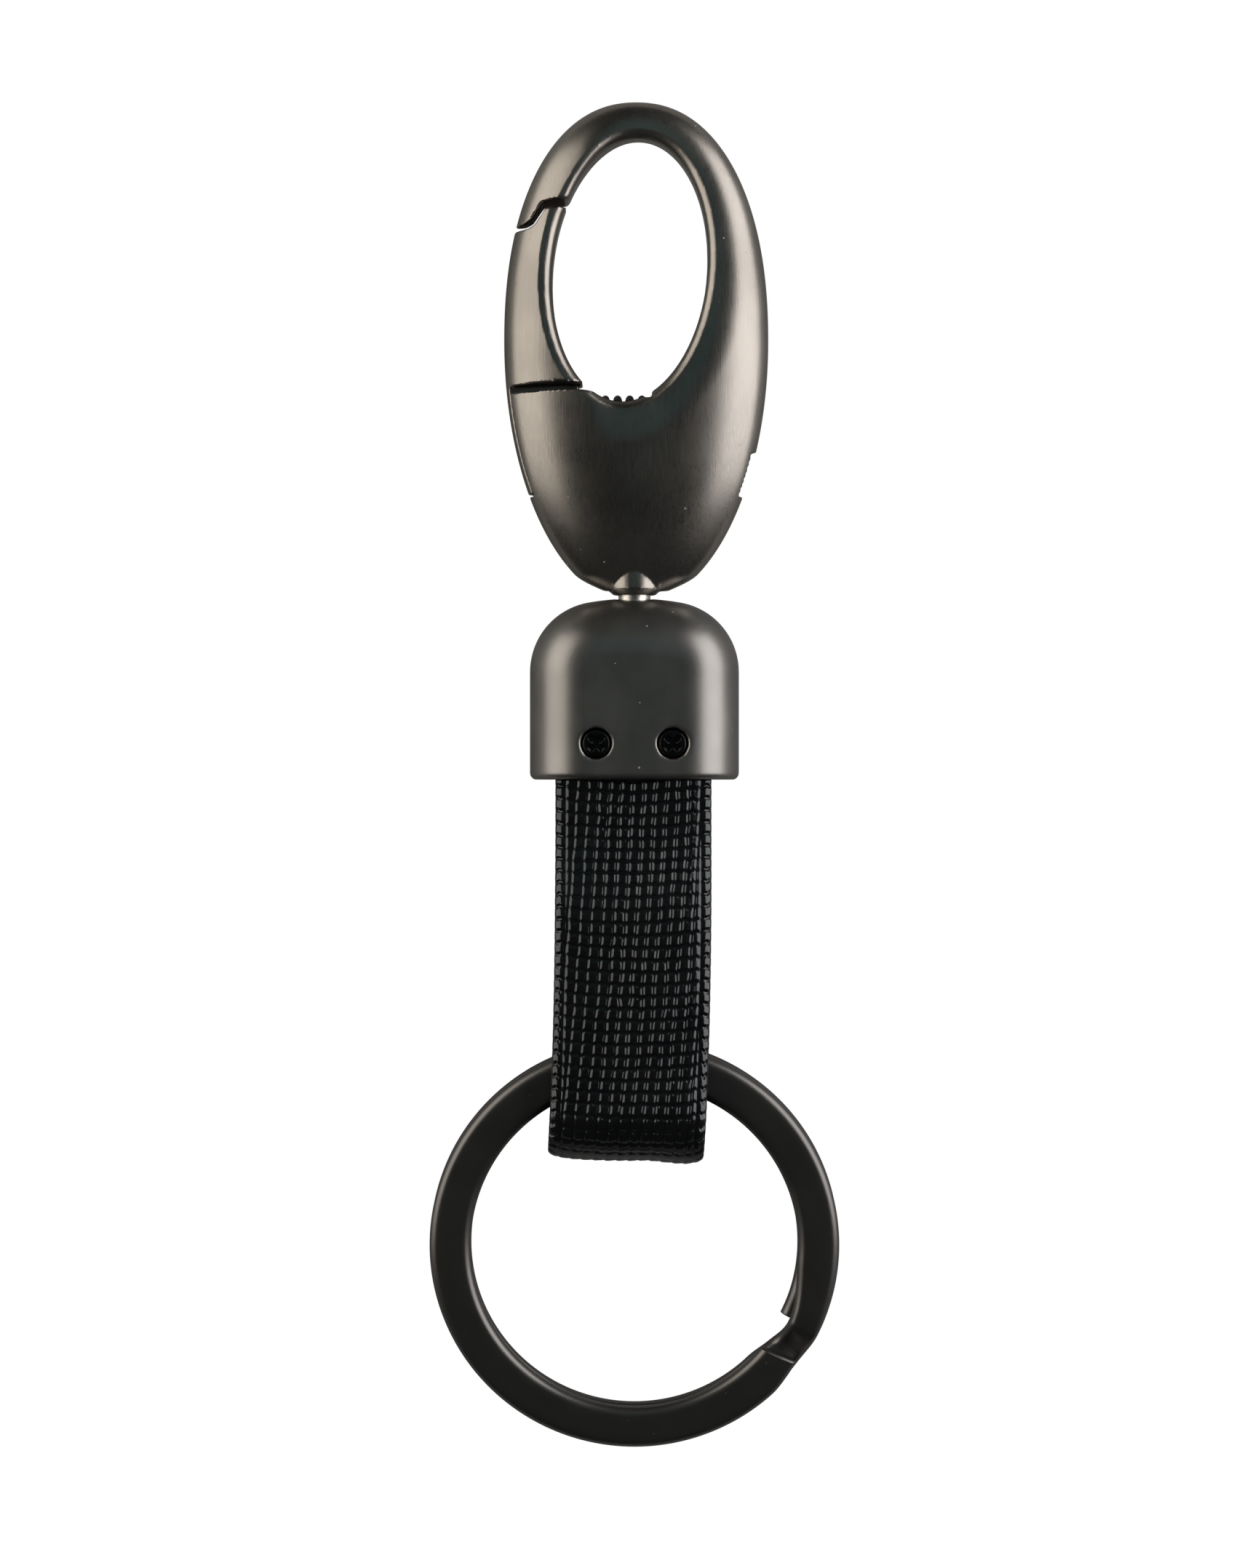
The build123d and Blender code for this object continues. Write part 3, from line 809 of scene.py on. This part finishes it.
        self.kit.dress(strap, Slot.LEATHER)
        mid = self.kit.joint("strap_flex")[2]
        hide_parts("strap_loop")
        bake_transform(strap)


@dataclass
class SplitRing:
    """The flat split ring: one strip wound into two turns, with a step where it crosses itself."""

    kit: Kit
    outer: float = 16.0 * MM
    band: float = 3.22 * MM
    turn: float = 1.48 * MM
    gap: float = 0.04 * MM
    edge: float = 0.6 * MM
    crown: float = 0.12 * MM
    strap_width: float = 12.2 * MM
    cut: float = -37.55
    slant: float = 1.45
    tail: float = -26.0
    waist: float = 0.23
    waist_in: tuple[float, float] = (4.0, 29.0)
    waist_out: tuple[float, float] = (29.5, 46.0)
    step: tuple[float, float] = (26.0, 36.7)
    roll: float = -0.15
    roll_at: float = 31.0
    roll_span: float = 6.0
    end_sink: float = 0.12 * MM
    end_tuck: float = 0.28 * MM
    tuck_span: float = 10.0
    stations: int = 1300

    def build(self) -> None:
        """Makes the ring. Angles are in degrees, and gone is how far the wire is past its first full turn."""
        pivot = self.kit.joint("ring_swing")
        inner = self.outer - self.band
        middle = self.outer - self.band / 2
        sag = inner - math.sqrt(inner**2 - (self.strap_width / 2) ** 2)
        reach = middle - sag / 2
        half = self.turn + self.gap / 2
        far = reach + self.outer
        lean = math.asin(pivot[2] / math.hypot(far, half)) - math.atan2(half, far)
        degrees = np.linspace(self.cut, self.tail - 720, self.stations)
        gone = -degrees - 360
        level = (self.turn + self.gap) / 2
        height = level * (1 - 2 * smooth_step(gone, *self.step))
        height = height - self.end_sink * smooth_step(gone, 360 - self.tail - 8, 360 - self.tail - 1)
        waist = smooth_step(gone, *self.waist_in) * (1 - smooth_step(gone, *self.waist_out))
        narrow = 1 - self.waist * waist
        roll = self.roll * np.exp(-(((gone - self.roll_at) / self.roll_span) ** 2))
        section = rounded_box(self.band, self.turn, self.edge, 8, 8)
        slant = self.slant * (1 - smooth_step(self.cut - degrees, 0, 8))
        turn = np.radians(degrees[:, None] + slant[:, None] * section[:, 0] / (self.band / 2))
        across = section[:, 0][None, :] * narrow[:, None] + (self.band / 2) * (1 - narrow)[:, None]
        crown = self.crown * np.abs(2 * section[:, 0] / self.band) ** 4
        up = (section[:, 1] * (1 - 2 * crown / self.turn))[None, :]
        up = up + np.tan(roll)[:, None] * (self.band / 2 - across)
        tuck = self.end_tuck * (1 - smooth_step(self.cut - degrees, 0, self.tuck_span))[:, None]
        across = across - tuck * smooth_step(across, 0, self.band / 2)
        radius = middle + across
        x, y = radius * np.cos(turn), radius * np.sin(turn)
        z = height[:, None] + up
        flat = np.stack([x, y - reach, z], -1).reshape(-1, 3)
        c, s = math.cos(lean), math.sin(lean)
        laid = np.stack([flat[:, 0], c * flat[:, 1] - s * flat[:, 2], s * flat[:, 1] + c * flat[:, 2]], 1)
        ring = mesh_object("ring_wire", laid + pivot, tube_faces(self.stations, len(section)))
        self.kit.dress(ring, Slot.RING)
        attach(ring, "ring")
        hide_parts("split_ring")


@dataclass
class Studio:
    """Camera, lights and floor."""

    middle: tuple[float, float] = (-0.54 * MM, -0.34 * MM)
    distance: float = 0.38
    view_height: float = 122.33 * MM
    sensor: float = 24.0

    def camera(self, mid: float) -> None:
        """Looks straight down on the keyring."""
        data = bpy.data.cameras.new("camera")
        data.sensor_fit = "VERTICAL"
        data.sensor_height = self.sensor
        data.lens = self.sensor * self.distance / self.view_height
        data.clip_start = 0.01
        data.clip_end = 10
        camera = bpy.data.objects.new("camera", data)
        camera.location = (*self.middle, mid + self.distance)
        bpy.context.scene.collection.objects.link(camera)
        bpy.context.scene.camera = camera

    def softbox(
        self, name: str, place: Sequence[float], size: Sequence[float], power: float, tint: Sequence[float]
    ) -> None:
        """One rectangular light that faces the keyring.

        Args:
            name: its name.
            place: its middle.
            size: its sides.
            power: its power in watts.
            tint: its colour.
        """
        data = bpy.data.lights.new(name, "AREA")
        data.shape = "RECTANGLE"
        data.size, data.size_y = size
        data.energy = power
        data.color = tint
        light = bpy.data.objects.new(name, data)
        light.location = place
        aim = Vector((-place[0], -0.01 * place[1], -place[2]))
        light.rotation_euler = aim.to_track_quat("-Z", "Y").to_euler()
        bpy.context.scene.collection.objects.link(light)

    def floor(self) -> None:
        """A pale floor that the lights leave almost white."""
        side = 3.0
        corners = np.array([[-side, -side, 0], [side, -side, 0], [side, side, 0], [-side, side, 0]])
        floor = mesh_object("floor", corners, [(0, 1, 2, 3)])
        s = Shader("pale_floor")
        s.set(Base_Color=rgb(0.55, 0.55, 0.55), Roughness=0.9)
        glow = s.node("ShaderNodeEmission", {}, {"Color": rgb(1, 1, 1), "Strength": 1.0})
        seen = s.node("ShaderNodeLightPath", {}, {}, "Is Camera Ray")
        mixed = s.node("ShaderNodeMixShader", {}, {0: seen, 1: Wire(s, s.surface.outputs["BSDF"]), 2: glow})
        s.tree.links.new(mixed.socket, s.output.inputs["Surface"])
        floor.data.materials.append(s.material)

    def surroundings(self) -> None:
        """A dim room that is seen as white, so that the floor has no horizon from the side."""
        world = bpy.data.worlds.new("studio")
        world.use_nodes = True
        tree = world.node_tree
        room = tree.nodes["Background"]
        room.inputs["Color"].default_value = rgb(0.03, 0.032, 0.032)
        backdrop = tree.nodes.new("ShaderNodeBackground")
        backdrop.inputs["Color"].default_value = rgb(1, 1, 1)
        mix = tree.nodes.new("ShaderNodeMixShader")
        seen = tree.nodes.new("ShaderNodeLightPath")
        tree.links.new(seen.outputs["Is Camera Ray"], mix.inputs[0])
        tree.links.new(room.outputs[0], mix.inputs[1])
        tree.links.new(backdrop.outputs[0], mix.inputs[2])
        tree.links.new(mix.outputs[0], tree.nodes["World Output"].inputs["Surface"])
        bpy.context.scene.world = world

    def build(self, mid: float) -> None:
        """Sets the studio up."""
        self.camera(mid)
        self.floor()
        self.softbox("left_box", (-0.386, 0.175, 0.188), (0.55, 0.38), 1.16, (1.0, 0.93, 0.84))
        self.softbox("right_box", (0.386, 0.175, 0.188), (0.55, 0.38), 1.7, (1.0, 0.965, 0.95))
        self.softbox("teal_fill", (0.0, 0.3, 0.6), (0.3, 0.5), 0.035, (0.35, 0.95, 1.0))
        self.surroundings()
        bpy.context.scene.view_settings.view_transform = "Standard"


FINISHES: dict[Slot, Any] = {
    Slot.GUNMETAL: SatinPlate(),
    Slot.CAP: SatinPlate(name="satin_cap", tone=(0.32, 0.312, 0.3), roughness=0.38, brushing=0.35),
    Slot.PIN: BlackOxide(name="ground_pin", tone=0.12, roughness=0.3),
    Slot.SPRING: BlackOxide(name="spring_wire", tone=0.1, roughness=0.3),
    Slot.BRIGHT: BrightNickel(),
    Slot.SCREW: BlackOxide(name="screw_black", tone=0.05, roughness=0.26),
    Slot.CORE: BlackResin(),
    Slot.LEATHER: PressedLeather(),
    Slot.RING: BlackNickel(),
}


def main() -> None:
    """Builds the keyring round its frame and logs each sub-assembly as it is done."""
    logging.basicConfig(level=logging.INFO, format="%(message)s")
    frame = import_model()
    kit = Kit(frame, {slot: finish.make() for slot, finish in FINISHES.items()})
    Studio().build(kit.joint("hook_swivel")[2])
    for part in (SnapHook(kit), SwivelCap(kit), LeatherStrap(kit), SplitRing(kit)):
        part.build()
        log.info("%s done", type(part).__name__)


if __name__ == "__main__":
    main()
